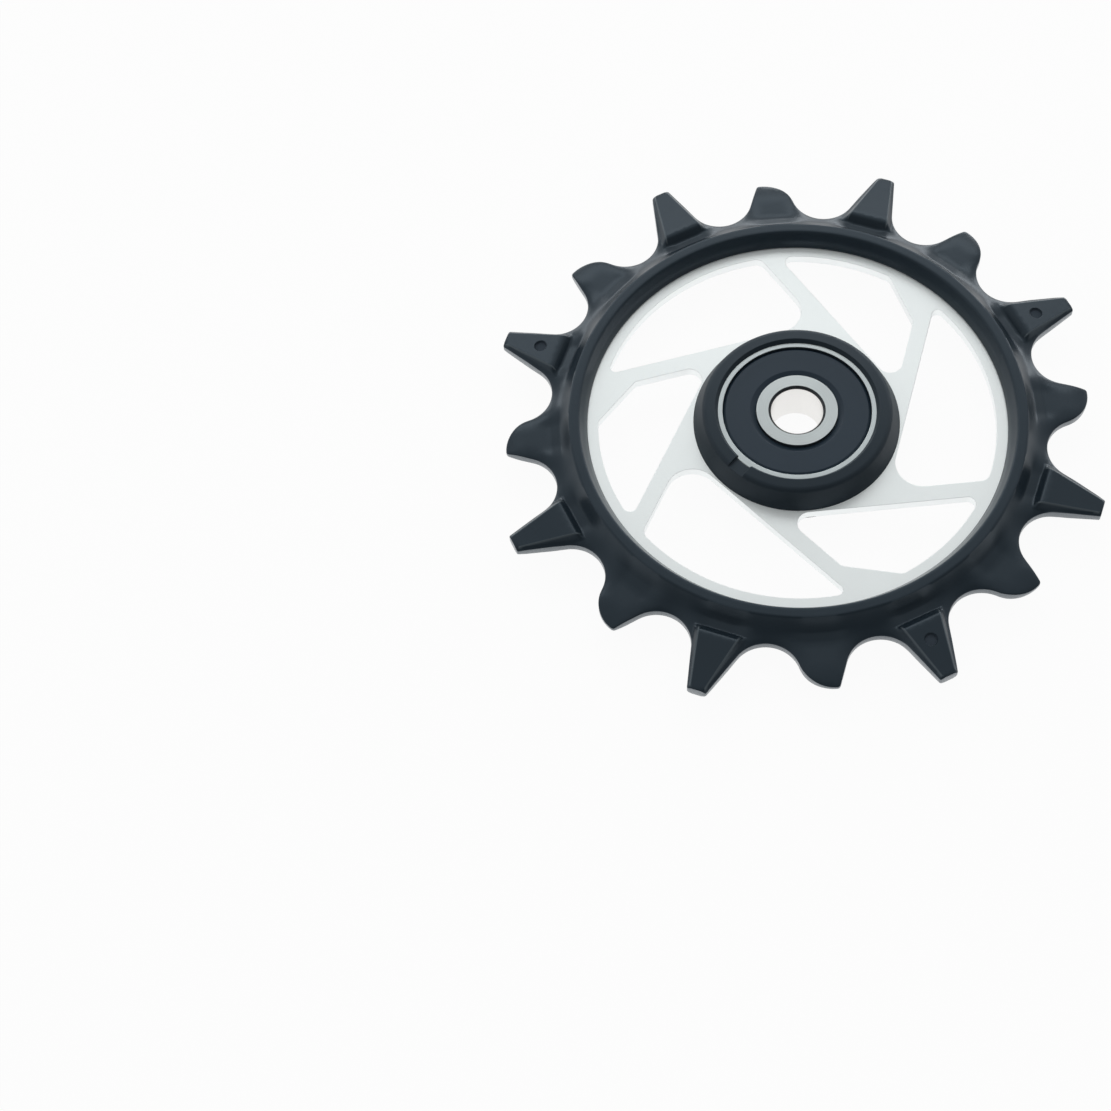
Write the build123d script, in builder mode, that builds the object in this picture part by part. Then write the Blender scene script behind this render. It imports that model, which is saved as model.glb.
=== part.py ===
from build123d import *
import os
from math import asin, cos, degrees, pi, radians, sin, sqrt

# Derailleur jockey wheel, lying flat on its hub.
# Millimetres. +Z runs along the axle, and the origin is the middle of the bearing bore.
# Angles are degrees counter-clockwise from +X, seen from the front (+Z) side.

# Chain and roller seats
chain_pitch = 12.7
tooth_count = 16  # even, because wide and narrow teeth take turns
roller_seat_radius = 3.95
seat_float = 0.35  # how far the seat centres stand outside the pitch circle

# Wide teeth, which fill the chain's outer links
wide_tooth_height = 7.4
wide_tip_width = 2.2
wide_tip_lean = 0.34  # clockwise, off the tooth's centre line
wide_tip_round = 0.25
wide_pad_thickness = 3.4
wide_tip_thickness = 0.9
pad_foot_gap = 0.25  # from the roller seats' root circle in to the pad's foot
pad_foot_width = 6.2
pad_tip_inset = 0.1
pad_bevel_angle = 43.0
mark_count = 3
mark_step = 135.0
mark_height = 3.35  # above the root circle
mark_diameter = 1.5
mark_depth = 0.9

# Narrow teeth, which fit inside the chain's inner links
narrow_tooth_height = 5.1
narrow_back_radius = 4.0
narrow_corner_offset = 1.6
narrow_corner_round = 0.3
narrow_tip_thickness = 0.6
narrow_tip_bevel = 1.65

# Toothed ring's web and rim
web_thickness = 1.5
seat_edge_thickness = 0.84
seat_bevel_width = 0.75
seat_bevel_reach = 1.4  # how far the cone that cuts it runs on, in bevels
rim_thickness = 5.4
rim_setback = 2.29  # from the root circle in to the rim's outer edge
rim_land_width = 1.21
rim_slope_width = 1.05
rim_edge_bevel = 0.15
rim_wall_run = 0.8
rim_foot_round = 1.3
rim_overlap = 0.2  # how far the rim's foot stops short of the root circle
pocket_floor_radius = 5.3
pocket_top_radius = 6.3
pocket_round = 0.9
lip_edge = 0.2

# Spoke plate
plate_thickness = 1.2
lip_cover = 1.5  # how far the ring's lips reach over the plate's rim
slip_clearance = 0.05  # between the plate's rim and the ring that can slip round it
plate_bite = 1.4  # how far the plate reaches into the hub
rim_band_width = 1.25
spoke_sets = 3
spoke_width = 1.9
spoke_margin = 0.2  # from the hub's foot out to the spokes' outer edges
lead_spoke_angle = 20.5
trail_spoke_angle = 90.0
gusset_angle = 6.3
gusset_depth = 4.95
big_tip_round = 0.7
big_heel_round = 3.1
big_crown_round = 1.3
small_start_round = 0.9
small_foot_round = 1.5
small_elbow_round = 1.0
small_shoulder_round = 1.0

# Hub
hub_width = 7.0
hub_lip_overlap = 0.36  # how far the hub's lips reach over the bearing's outer race
hub_lip_slope = 0.34
hub_top_wall = 1.35
hub_top_fall = 0.15  # from the lips out to the shoulder
hub_shoulder_round = 0.7
hub_foot_wall = 2.5
seat_clearance = 0.02  # round pieces that sit fast in one another
notch_angle = 213.0
notch_width = 2.1

# Ball bearing
bearing_bore = 6.0
bearing_diameter = 19.0
bearing_width = 6.0
bore_chamfer = 0.3
race_edge_chamfer = 0.1
ball_count = 7
ball_diameter = 3.5
race_clearance = 0.02
groove_relief = 0.07  # how much rounder the ball grooves are than the balls
race_shoulder_height = 0.6
inner_rim_wall = 1.7
outer_rim_wall = 0.88
seal_recess_depth = 1.0

# Bearing seals and ball cage
seal_thickness = 0.75
seal_sink = 0.14  # below the bearing's face
seal_clearance = 0.05
seal_edge_width = 0.35
seal_lip_width = 0.7
seal_edge_drop = 0.3
seal_bead_height = 0.16
seal_bead_thickness = 0.35
cage_sheet = 0.2
cage_clearance = 0.04
cage_band_width = 1.5

# Values worked out from the sizes above
half_pitch_angle = 180 / tooth_count
pair_count = tooth_count // 2
pitch_radius = chain_pitch / (2 * sin(pi / tooth_count))
seat_centre_radius = pitch_radius + seat_float
root_radius = seat_centre_radius - roller_seat_radius
wide_tip_radius = root_radius + wide_tooth_height
narrow_tip_radius = root_radius + narrow_tooth_height
wide_angle = half_pitch_angle
narrow_angle = 3 * half_pitch_angle

web_top = web_thickness / 2
rim_top = rim_thickness / 2
pad_top = wide_pad_thickness / 2
land_outer_radius = root_radius - rim_setback
land_inner_radius = land_outer_radius - rim_land_width
lip_radius = land_inner_radius - rim_slope_width

plate_top = plate_thickness / 2
plate_rim_radius = lip_radius + lip_cover
window_arc_radius = lip_radius - rim_band_width

hub_top = hub_width / 2
bearing_radius = bearing_diameter / 2
hub_bore_radius = bearing_radius + seat_clearance
hub_foot_radius = bearing_radius + hub_foot_wall
plate_eye_radius = hub_foot_radius - plate_bite
spoke_outer_edge = hub_foot_radius + spoke_margin
spoke_inner_edge = spoke_outer_edge - spoke_width

bore_radius = bearing_bore / 2
bearing_top = bearing_width / 2
ball_radius = ball_diameter / 2
ball_pitch_radius = (bore_radius + bearing_radius) / 2
groove_radius = ball_radius + groove_relief
inner_groove_bottom = ball_pitch_radius - ball_radius - race_clearance
outer_groove_bottom = ball_pitch_radius + ball_radius + race_clearance
inner_land_radius = bore_radius + inner_rim_wall
outer_recess_radius = bearing_radius - outer_rim_wall
seal_ledge = bearing_top - seal_recess_depth
seal_top = bearing_top - seal_sink
seal_back = seal_top - seal_thickness
seal_middle = (seal_top - seal_edge_drop + seal_back) / 2
turn = 360


def polar(radius, angle):
    """Point at a radius and an angle on the XY plane."""
    return Vector(radius * cos(radians(angle)), radius * sin(radians(angle)))


def touch_point(corner, centre, radius, side):
    """Where a line from a corner touches a circle, on the given side (+1 or -1)."""
    reach = centre - corner
    swing = degrees(asin(radius / reach.length))
    run = sqrt(reach.length**2 - radius**2)
    return corner + reach.normalized().rotate(Axis.Z, side * swing) * run


def along(distance, normal_angle, run):
    """Point on a line that passes the axis at a distance, a run along from its nearest point."""
    return polar(distance, normal_angle) + polar(run, normal_angle + 90)


def meet(distance_a, normal_a, distance_b, normal_b):
    """Where two such lines cross."""
    opening = radians(normal_b - normal_a)
    run = (distance_b - distance_a * cos(opening)) / sin(opening)
    return along(distance_a, normal_a, run)


def meet_arc(distance, normal_angle, radius):
    """Where such a line leaves a circle about the axis, counter-clockwise."""
    return along(distance, normal_angle, sqrt(radius**2 - distance**2))


def corner_near(sketch, point):
    """The corner of a sketch that lies nearest to a point."""
    return sketch.vertices().sort_by_distance(point)[0]


def save(piece, name):
    """Label a finished piece and write it to its own file."""
    piece.part.label = name
    export_step(piece.part, f"parts/{name}.step")


os.makedirs("parts", exist_ok=True)

# Outline of the toothed ring: one wide and one narrow tooth, repeated round the wheel
seat_before = polar(seat_centre_radius, 0)
seat_between = polar(seat_centre_radius, 2 * half_pitch_angle)
seat_after = polar(seat_centre_radius, 4 * half_pitch_angle)
wide_tip_low = -wide_tip_lean - wide_tip_width / 2
wide_tip_high = -wide_tip_lean + wide_tip_width / 2
wide_corner_low = Vector(wide_tip_radius, wide_tip_low).rotate(Axis.Z, wide_angle)
wide_corner_high = Vector(wide_tip_radius, wide_tip_high).rotate(Axis.Z, wide_angle)
wide_foot_low = touch_point(wide_corner_low, seat_before, roller_seat_radius, -1)
wide_foot_high = touch_point(wide_corner_high, seat_between, roller_seat_radius, 1)
next_wide_foot = wide_foot_low.rotate(Axis.Z, 4 * half_pitch_angle)

# The narrow tooth's round back touches the roller seat, and its corner lies on that back
back_centre_x = narrow_tip_radius - narrow_back_radius
seat_side = polar(seat_centre_radius, -half_pitch_angle)
back_reach = roller_seat_radius + narrow_back_radius
back_centre_y = seat_side.Y + sqrt(back_reach**2 - (seat_side.X - back_centre_x) ** 2)
corner_rise = sqrt(narrow_back_radius**2 - (narrow_corner_offset - back_centre_y) ** 2)
back_centre = Vector(back_centre_x, back_centre_y).rotate(Axis.Z, narrow_angle)
narrow_corner = Vector(back_centre_x + corner_rise, narrow_corner_offset).rotate(Axis.Z, narrow_angle)
back_foot = seat_between + (back_centre - seat_between) * (roller_seat_radius / back_reach)
narrow_foot = touch_point(narrow_corner, seat_after, roller_seat_radius, 1)

with BuildLine() as tooth_pair:
    Line(wide_foot_low, wide_corner_low)
    Line(wide_corner_low, wide_corner_high)
    Line(wide_corner_high, wide_foot_high)
    ThreePointArc(wide_foot_high, polar(root_radius, 2 * half_pitch_angle), back_foot)
    RadiusArc(back_foot, narrow_corner, -narrow_back_radius)
    Line(narrow_corner, narrow_foot)
    ThreePointArc(narrow_foot, polar(root_radius, 4 * half_pitch_angle), next_wide_foot)

with BuildSketch() as tooth_outline:
    with BuildLine():
        with PolarLocations(0, pair_count):
            add(tooth_pair.line)
    make_face()
    narrow_corners = tooth_outline.vertices().sort_by_distance((0, 0))[-3 * pair_count : -2 * pair_count]
    fillet(narrow_corners, narrow_corner_round)
    wide_corners = tooth_outline.vertices().sort_by_distance((0, 0))[-2 * pair_count :]
    fillet(wide_corners, wide_tip_round)

# Wedges that slope the teeth's faces down to their tips, on both sides
wide_fall = (pad_top - wide_tip_thickness / 2) / wide_tooth_height
with BuildPart() as wide_relief:
    with BuildSketch(Plane.XZ):
        with BuildLine():
            Polyline(
                (root_radius, pad_top),
                (wide_tip_radius + wide_fall, wide_tip_thickness / 2 - wide_fall**2),
                (wide_tip_radius + wide_fall, rim_top),
                (root_radius, rim_top),
                close=True,
            )
        make_face()
    extrude(amount=pad_foot_width / 2, both=True)
    mirror(about=Plane.XY)

narrow_fall = (web_top - narrow_tip_thickness / 2) / narrow_tip_bevel
with BuildPart() as narrow_relief:
    with BuildSketch(Plane.XZ):
        with BuildLine():
            Polyline(
                (narrow_tip_radius - narrow_tip_bevel, web_top),
                (narrow_tip_radius + narrow_fall, narrow_tip_thickness / 2 - narrow_fall**2),
                (narrow_tip_radius + narrow_fall, rim_top),
                (narrow_tip_radius - narrow_tip_bevel, rim_top),
                close=True,
            )
        make_face()
    extrude(amount=pad_foot_width / 2, both=True)
    mirror(about=Plane.XY)

# Raised pad on both faces of a wide tooth, on a foot that stands in the web
with BuildSketch() as pad_foot:
    with BuildLine():
        Polyline(
            (root_radius - pad_foot_gap, -pad_foot_width / 2),
            (wide_tip_radius, wide_tip_low + pad_tip_inset),
            (wide_tip_radius, wide_tip_high - pad_tip_inset),
            (root_radius - pad_foot_gap, pad_foot_width / 2),
            close=True,
        )
    make_face()

with BuildPart() as wide_pad:
    with BuildSketch():
        add(pad_foot.sketch)
    extrude(amount=web_top)
    with BuildSketch(Plane.XY.offset(web_top)):
        add(pad_foot.sketch)
    extrude(amount=pad_top - web_top, taper=pad_bevel_angle)
    add(wide_relief.part, mode=Mode.SUBTRACT)
    mirror(about=Plane.XY)

# Bevel round a roller seat, on both sides of the web
seat_edge_top = seat_edge_thickness / 2
seat_bevel_rise = web_top - seat_edge_top
with BuildPart() as seat_bevel:
    with Locations((0, 0, seat_edge_top)):
        Cone(
            bottom_radius=roller_seat_radius,
            top_radius=roller_seat_radius + seat_bevel_reach * seat_bevel_width,
            height=seat_bevel_reach * seat_bevel_rise,
            align=(Align.CENTER, Align.CENTER, Align.MIN),
        )
    mirror(about=Plane.XY)

# Pocket beside a roller seat, where the chain's links pass the rim
with BuildPart() as link_pocket:
    with Locations((0, 0, web_top)):
        Cone(
            bottom_radius=pocket_floor_radius,
            top_radius=pocket_top_radius,
            height=rim_top - web_top,
            align=(Align.CENTER, Align.CENTER, Align.MIN),
        )
    fillet(link_pocket.edges().sort_by(Axis.Z)[0], pocket_round)
    mirror(about=Plane.XY)

# Toothed ring: rim with a groove for the plate, web, teeth and pads
with BuildPart() as toothed_ring:
    with BuildSketch(Plane.XZ) as rim_section:
        with BuildLine():
            Polyline(
                (plate_rim_radius + slip_clearance, 0),
                (plate_rim_radius + slip_clearance, plate_top + slip_clearance),
                (lip_radius, plate_top + slip_clearance),
                (lip_radius, plate_top + slip_clearance + lip_edge),
                (land_inner_radius, rim_top),
                (land_outer_radius, rim_top),
                (land_outer_radius + rim_wall_run, web_top),
                (root_radius - rim_overlap, web_top),
                (root_radius - rim_overlap, 0),
                close=True,
            )
        make_face()
        fillet(corner_near(rim_section, (land_outer_radius + rim_wall_run, web_top)), rim_foot_round)
        chamfer(corner_near(rim_section, (land_inner_radius, rim_top)), rim_edge_bevel)
        chamfer(corner_near(rim_section, (land_outer_radius, rim_top)), rim_edge_bevel)
    revolve(axis=Axis.Z)
    mirror(about=Plane.XY)
    with PolarLocations(seat_centre_radius, tooth_count):
        add(link_pocket.part, mode=Mode.SUBTRACT)
    with BuildSketch():
        add(tooth_outline.sketch)
        Circle(land_outer_radius, mode=Mode.SUBTRACT)
    extrude(amount=web_top, both=True)
    with PolarLocations(seat_centre_radius, tooth_count):
        add(seat_bevel.part, mode=Mode.SUBTRACT)
    with PolarLocations(0, pair_count, start_angle=wide_angle):
        add(wide_relief.part, mode=Mode.SUBTRACT)
    with PolarLocations(0, pair_count, start_angle=narrow_angle):
        add(narrow_relief.part, mode=Mode.SUBTRACT)
    with PolarLocations(0, pair_count, start_angle=wide_angle):
        add(wide_pad.part)
    mark_floor = pad_top - wide_fall * mark_height - mark_depth
    mark_lean = -wide_tip_lean * mark_height / wide_tooth_height
    mark_centre = Vector(root_radius + mark_height, mark_lean).rotate(Axis.Z, wide_angle)
    for mark in range(mark_count):
        with BuildSketch(Plane.XY.offset(mark_floor)):
            with Locations(mark_centre.rotate(Axis.Z, mark * mark_step)):
                Circle(mark_diameter / 2)
        extrude(amount=rim_top, mode=Mode.SUBTRACT)
save(toothed_ring, "toothed_ring")

# Spoke plate: two kinds of window leave six spokes that run off the hub's edge
big_tip = meet_arc(spoke_outer_edge, trail_spoke_angle, window_arc_radius)
big_heel = meet(spoke_outer_edge, trail_spoke_angle, spoke_inner_edge, lead_spoke_angle)
big_crown = meet_arc(spoke_inner_edge, lead_spoke_angle, window_arc_radius)
with BuildSketch() as big_window:
    with BuildLine():
        Line(big_tip, big_heel)
        Line(big_heel, big_crown)
        RadiusArc(big_crown, big_tip, -window_arc_radius)
    make_face()
    fillet(corner_near(big_window, big_heel), big_heel_round)
    fillet(corner_near(big_window, big_crown), big_crown_round)
    fillet(corner_near(big_window, big_tip), big_tip_round)

gusset_edge = window_arc_radius - gusset_depth
elbow_angle = trail_spoke_angle - turn / spoke_sets
small_start = meet_arc(spoke_outer_edge, lead_spoke_angle, window_arc_radius)
small_foot = meet(spoke_outer_edge, lead_spoke_angle, spoke_inner_edge, elbow_angle)
small_elbow = meet(spoke_inner_edge, elbow_angle, gusset_edge, gusset_angle)
small_shoulder = meet_arc(gusset_edge, gusset_angle, window_arc_radius)
with BuildSketch() as small_window:
    with BuildLine():
        Line(small_start, small_foot)
        Line(small_foot, small_elbow)
        Line(small_elbow, small_shoulder)
        RadiusArc(small_shoulder, small_start, -window_arc_radius)
    make_face()
    fillet(corner_near(small_window, small_start), small_start_round)
    fillet(corner_near(small_window, small_foot), small_foot_round)
    fillet(corner_near(small_window, small_elbow), small_elbow_round)
    fillet(corner_near(small_window, small_shoulder), small_shoulder_round)

with BuildPart() as spoke_plate:
    with BuildSketch():
        Circle(plate_rim_radius)
        Circle(plate_eye_radius, mode=Mode.SUBTRACT)
        with PolarLocations(0, spoke_sets):
            add(big_window.sketch, mode=Mode.SUBTRACT)
            add(small_window.sketch, mode=Mode.SUBTRACT)
    extrude(amount=plate_top, both=True)
save(spoke_plate, "spoke_plate")

# Hub, moulded round the plate's eye and the bearing's outer race
hub_lip_radius = bearing_radius - hub_lip_overlap
hub_lip_base = bearing_top + seat_clearance
hub_top_radius = bearing_radius + hub_top_wall
hub_shoulder = hub_top - hub_top_fall
with BuildPart() as hub:
    with BuildSketch(Plane.XZ) as hub_section:
        with BuildLine():
            Polyline(
                (hub_bore_radius, 0),
                (hub_bore_radius, hub_lip_base),
                (hub_lip_radius, hub_lip_base),
                (hub_lip_radius + hub_lip_slope, hub_top),
                (hub_top_radius, hub_shoulder),
                (hub_foot_radius, plate_top),
                (plate_eye_radius - seat_clearance, plate_top),
                (plate_eye_radius - seat_clearance, 0),
                close=True,
            )
        make_face()
        fillet(corner_near(hub_section, (hub_top_radius, hub_shoulder)), hub_shoulder_round)
    revolve(axis=Axis.Z)
    mirror(about=Plane.XY)
    with BuildSketch(Plane.XY.offset(hub_lip_base)):
        with PolarLocations(bearing_radius, 1, start_angle=notch_angle):
            Rectangle(2 * hub_foot_wall, notch_width)
    extrude(amount=hub_top, mode=Mode.SUBTRACT)
save(hub, "hub")

# Bearing races, each with a ball groove and a ledge for the seals
with BuildPart() as inner_race:
    with BuildSketch(Plane.XZ):
        with BuildLine():
            Polyline(
                (bore_radius, 0),
                (bore_radius, bearing_top - bore_chamfer),
                (bore_radius + bore_chamfer, bearing_top),
                (inner_land_radius, bearing_top),
                (inner_land_radius, seal_ledge),
                (inner_groove_bottom + race_shoulder_height, seal_ledge),
                (inner_groove_bottom + race_shoulder_height, 0),
                close=True,
            )
        make_face()
    revolve(axis=Axis.Z)
    mirror(about=Plane.XY)
    Torus(inner_groove_bottom + groove_radius, groove_radius, mode=Mode.SUBTRACT)
save(inner_race, "bearing_inner_race")

bead_radius = outer_recess_radius + seal_bead_height
bead_half = seal_bead_thickness / 2
with BuildPart() as outer_race:
    with BuildSketch(Plane.XZ):
        with BuildLine():
            Polyline(
                (bearing_radius, 0),
                (bearing_radius, bearing_top - race_edge_chamfer),
                (bearing_radius - race_edge_chamfer, bearing_top),
                (outer_recess_radius, bearing_top),
                (outer_recess_radius, seal_middle + bead_half + seat_clearance),
                (bead_radius + seat_clearance, seal_middle + bead_half + seat_clearance),
                (bead_radius + seat_clearance, seal_middle - bead_half - seat_clearance),
                (outer_recess_radius, seal_middle - bead_half - seat_clearance),
                (outer_recess_radius, seal_ledge),
                (outer_groove_bottom - race_shoulder_height, seal_ledge),
                (outer_groove_bottom - race_shoulder_height, 0),
                close=True,
            )
        make_face()
    revolve(axis=Axis.Z)
    mirror(about=Plane.XY)
    Torus(outer_groove_bottom - groove_radius, groove_radius, mode=Mode.SUBTRACT)
save(outer_race, "bearing_outer_race")

# Rubber seals, snapped into the outer race and running close to the inner one
seal_inner_radius = inner_land_radius + seal_clearance
seal_outer_radius = outer_recess_radius - seat_clearance
with BuildPart() as seal_front:
    with BuildSketch(Plane.XZ):
        with BuildLine():
            Polyline(
                (seal_inner_radius, seal_back),
                (seal_inner_radius, seal_top - seal_edge_drop),
                (seal_inner_radius + seal_lip_width, seal_top),
                (seal_outer_radius - seal_edge_width, seal_top),
                (seal_outer_radius, seal_top - seal_edge_drop),
                (seal_outer_radius, seal_middle + bead_half),
                (bead_radius, seal_middle),
                (seal_outer_radius, seal_middle - bead_half),
                (seal_outer_radius, seal_back),
                close=True,
            )
        make_face()
    revolve(axis=Axis.Z)
save(seal_front, "bearing_seal_front")

with BuildPart() as seal_rear:
    mirror(seal_front.part, about=Plane.XY)
save(seal_rear, "bearing_seal_rear")

# Ball cage: two halves pressed from sheet into a wave, which meet between the balls
arch_radius = ball_radius + cage_clearance
with BuildPart() as cage_front:
    with BuildSketch() as cage_band:
        Circle(ball_pitch_radius + cage_band_width / 2)
        Circle(ball_pitch_radius - cage_band_width / 2, mode=Mode.SUBTRACT)
    extrude(amount=cage_sheet)
    with PolarLocations(ball_pitch_radius, ball_count):
        Cylinder(arch_radius + cage_sheet, ball_diameter, rotation=(0, 90, 0))
    extrude(cage_band.sketch, amount=ball_diameter, mode=Mode.INTERSECT)
    with PolarLocations(ball_pitch_radius, ball_count):
        Cylinder(arch_radius, ball_diameter, rotation=(0, 90, 0), mode=Mode.SUBTRACT)
save(cage_front, "ball_cage_front")

with BuildPart() as cage_rear:
    mirror(cage_front.part, about=Plane.XY)
save(cage_rear, "ball_cage_rear")

# Balls, each a piece of its own
for ball_number in range(1, ball_count + 1):
    with BuildPart() as ball:
        with Locations(polar(ball_pitch_radius, ball_number * turn / ball_count)):
            Sphere(ball_radius)
    save(ball, f"bearing_ball_{ball_number}")
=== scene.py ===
# %% [markdown]
# # A derailleur jockey wheel, finished in Blender
# The wheel guides a bicycle chain: a black toothed ring runs round a pale alloy plate, and
# a sealed ball bearing sits in a black hub at its middle. Its solids come from the packed
# model, in metres and in their final place. This lesson lights them, gives each surface its
# finish, and makes the toothed ring again with softer, moulded edges.

# %% Load the solids
import math

import bmesh
import bpy
import numpy as np
from mathutils import Matrix, Quaternion, Vector
from mathutils.geometry import delaunay_2d_cdt
from mathutils.kdtree import KDTree


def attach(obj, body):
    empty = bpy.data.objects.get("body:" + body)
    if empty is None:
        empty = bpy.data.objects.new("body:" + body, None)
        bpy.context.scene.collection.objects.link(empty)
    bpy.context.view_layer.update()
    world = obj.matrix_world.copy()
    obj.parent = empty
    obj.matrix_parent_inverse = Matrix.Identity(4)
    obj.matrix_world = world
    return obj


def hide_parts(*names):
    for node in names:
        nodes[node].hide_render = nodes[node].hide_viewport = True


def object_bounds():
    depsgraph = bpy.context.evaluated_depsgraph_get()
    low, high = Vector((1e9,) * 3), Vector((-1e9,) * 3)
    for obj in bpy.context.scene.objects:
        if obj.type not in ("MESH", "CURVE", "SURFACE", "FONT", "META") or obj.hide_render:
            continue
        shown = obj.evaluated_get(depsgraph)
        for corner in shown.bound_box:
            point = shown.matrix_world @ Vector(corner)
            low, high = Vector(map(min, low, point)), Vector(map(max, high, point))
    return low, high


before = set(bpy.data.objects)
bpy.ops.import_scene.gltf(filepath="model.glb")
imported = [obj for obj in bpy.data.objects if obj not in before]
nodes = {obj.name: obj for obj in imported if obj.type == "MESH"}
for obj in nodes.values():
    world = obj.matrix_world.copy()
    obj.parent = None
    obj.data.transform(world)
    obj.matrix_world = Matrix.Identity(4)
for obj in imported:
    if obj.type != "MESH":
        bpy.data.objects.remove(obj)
cad_low, cad_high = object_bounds()
MM = 0.001
print("solids:", len(nodes), "box in mm:", [round(v / MM, 2) for v in cad_high - cad_low])

# %% [markdown]
# ## Camera
# The photograph looks down on the wheel from the front, leaning a little to one side, and
# the wheel lies in the upper right of the picture. A camera can be placed by eye, but here
# its place and lens are worked out from circles of known size on the wheel, so that the
# render and the photograph can be laid over each other.

# %% Set the camera
eye = Vector((-47.4, -128.8, 230.8)) * MM
aim = Vector((-31.35, -9.31, 0.0)) * MM
lean = math.radians(7.09)
lens_mm = 73.88
sensor_mm = 36.0
near_clip = 0.01

scene = bpy.context.scene
camera_data = bpy.data.cameras.new("photo_camera")
camera_data.lens = lens_mm
camera_data.sensor_width = sensor_mm
camera_data.clip_start = near_clip
camera = bpy.data.objects.new("photo_camera", camera_data)
scene.collection.objects.link(camera)
camera.location = eye
camera.rotation_mode = "QUATERNION"
camera.rotation_quaternion = (aim - eye).to_track_quat("-Z", "Y") @ Quaternion((0, 0, 1), -lean)
scene.camera = camera
print("camera is", round((aim - eye).length / MM), "mm from what it looks at")

# %% [markdown]
# ## Studio light
# Small parts are often photographed in a white tent that is open towards the camera: light
# comes from the sides and the back, less from overhead, and little from the front. A picture
# of a studio could light the scene, but two ramps are easier to read and to change: one runs
# from the horizon to the zenith and one from front to back. The camera itself sees white.
# World, table and finishes are all node trees, so a short helper comes first. It adds a node
# and fills each input with either a value or a link, and a tree then reads like a recipe.

# %% Light the tent


def add_node(tree, kind, inputs=None, **settings):
    """Add a node; an input given as a socket is linked, and any other input is set."""
    made = tree.nodes.new(kind)
    for name, value in settings.items():
        setattr(made, name, value)
    for name, value in (inputs or {}).items():
        if isinstance(value, bpy.types.NodeSocket):
            tree.links.new(value, made.inputs[name])
        else:
            made.inputs[name].default_value = value
    return made


def maths(tree, operation, *values, clamp=False):
    """A Math node's result."""
    inputs = dict(enumerate(values))
    return add_node(tree, "ShaderNodeMath", inputs, operation=operation, use_clamp=clamp).outputs[0]


scene.view_settings.view_transform = "Standard"
horizon_light = 0.9
zenith_light = 0.6
front_share = 0.35

# Where the ramps end, as the upward or backward part of a direction of length one
zenith_from = 0.85
front_to = -0.7
back_from = 0.2

world = bpy.data.worlds.new("tent")
world.use_nodes = True
scene.world = world
sky = world.node_tree
direction = add_node(sky, "ShaderNodeTexCoord").outputs["Generated"]
ways = add_node(sky, "ShaderNodeSeparateXYZ", {0: direction}).outputs
overhead = add_node(sky, "ShaderNodeMapRange", {
    "Value": ways["Z"], "From Min": 0.0, "From Max": zenith_from,
    "To Min": horizon_light, "To Max": zenith_light,
}).outputs[0]
behind = add_node(sky, "ShaderNodeMapRange", {
    "Value": ways["Y"], "From Min": front_to, "From Max": back_from,
    "To Min": front_share, "To Max": 1.0,
}, interpolation_type="SMOOTHSTEP").outputs[0]
seen = add_node(sky, "ShaderNodeLightPath").outputs["Is Camera Ray"]
strength = maths(sky, "MAXIMUM", maths(sky, "MULTIPLY", overhead, behind), seen)
background = sky.nodes["Background"].inputs
sky.links.new(strength, background["Strength"])
background["Color"].default_value = (1.0, 1.0, 1.0, 1.0)
print("world light:", horizon_light, "at the horizon and", zenith_light, "overhead")

# %% [markdown]
# ## Lamps
# The tent alone would leave the black mouldings flat. A panel high behind the wheel lifts its
# far faces, and two low strips behind it, to the right and to the left, draw streaks along
# its curves. Each lamp is given by how bright its face is, and its power follows from its
# size, so that a lamp can be made longer without making its reflection brighter.

# %% Hang the lamps


def panel_lamp(name, place, width, length, radiance):
    """A soft flat lamp that looks at the wheel, with its place and size in metres."""
    data = bpy.data.lights.new(name, "AREA")
    data.shape = "RECTANGLE"
    data.size = width
    data.size_y = length
    data.energy = radiance * math.pi * width * length
    lamp = bpy.data.objects.new(name, data)
    scene.collection.objects.link(lamp)
    lamp.location = place
    lamp.rotation_mode = "QUATERNION"
    lamp.rotation_quaternion = (-Vector(place)).to_track_quat("-Z", "Y")
    lamp.visible_camera = False


panel_lamp("back_panel", place=(0.1, 0.50, 0.52), width=0.7, length=0.2, radiance=1.7)
panel_lamp("right_strip", place=(0.32, 0.48, 0.075), width=0.8, length=0.14, radiance=3.4)
panel_lamp("left_strip", place=(-0.22, 0.54, 0.075), width=0.4, length=0.14, radiance=2.2)

# %% [markdown]
# ## Table
# The table is white paper. It would render light grey, so part of its colour is given as a
# plain glow that only the camera and mirror-like surfaces see. The rest is ordinary matt
# white, which keeps a faint shadow under the wheel and bounces light up onto it.

# %% Lay the table
table_size = 4.0
table_white = 0.86
table_glow = 0.95

bpy.ops.mesh.primitive_plane_add(size=table_size)
table = bpy.context.object
table.name = "table"
table.data.transform(Matrix.Translation((0, 0, cad_low.z)))
paper = bpy.data.materials.new("white_paper")
paper.use_nodes = True
tree = paper.node_tree
tree.nodes.clear()
path = add_node(tree, "ShaderNodeLightPath").outputs
shown = maths(tree, "MAXIMUM", path["Is Camera Ray"], path["Is Glossy Ray"])
shown = maths(tree, "MAXIMUM", shown, path["Is Transmission Ray"])
matt = add_node(tree, "ShaderNodeBsdfDiffuse", {"Color": (table_white, table_white, table_white, 1)})
glow = add_node(tree, "ShaderNodeEmission", {"Color": (1, 1, 1, 1), "Strength": 1.0})
mixed = add_node(tree, "ShaderNodeMixShader", {
    0: maths(tree, "MULTIPLY", shown, table_glow), 1: matt.outputs[0], 2: glow.outputs[0],
})
add_node(tree, "ShaderNodeOutputMaterial", {"Surface": mixed.outputs[0]})
table.data.materials.append(paper)
print("table lies at", round(cad_low.z / MM, 2), "mm")

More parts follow.
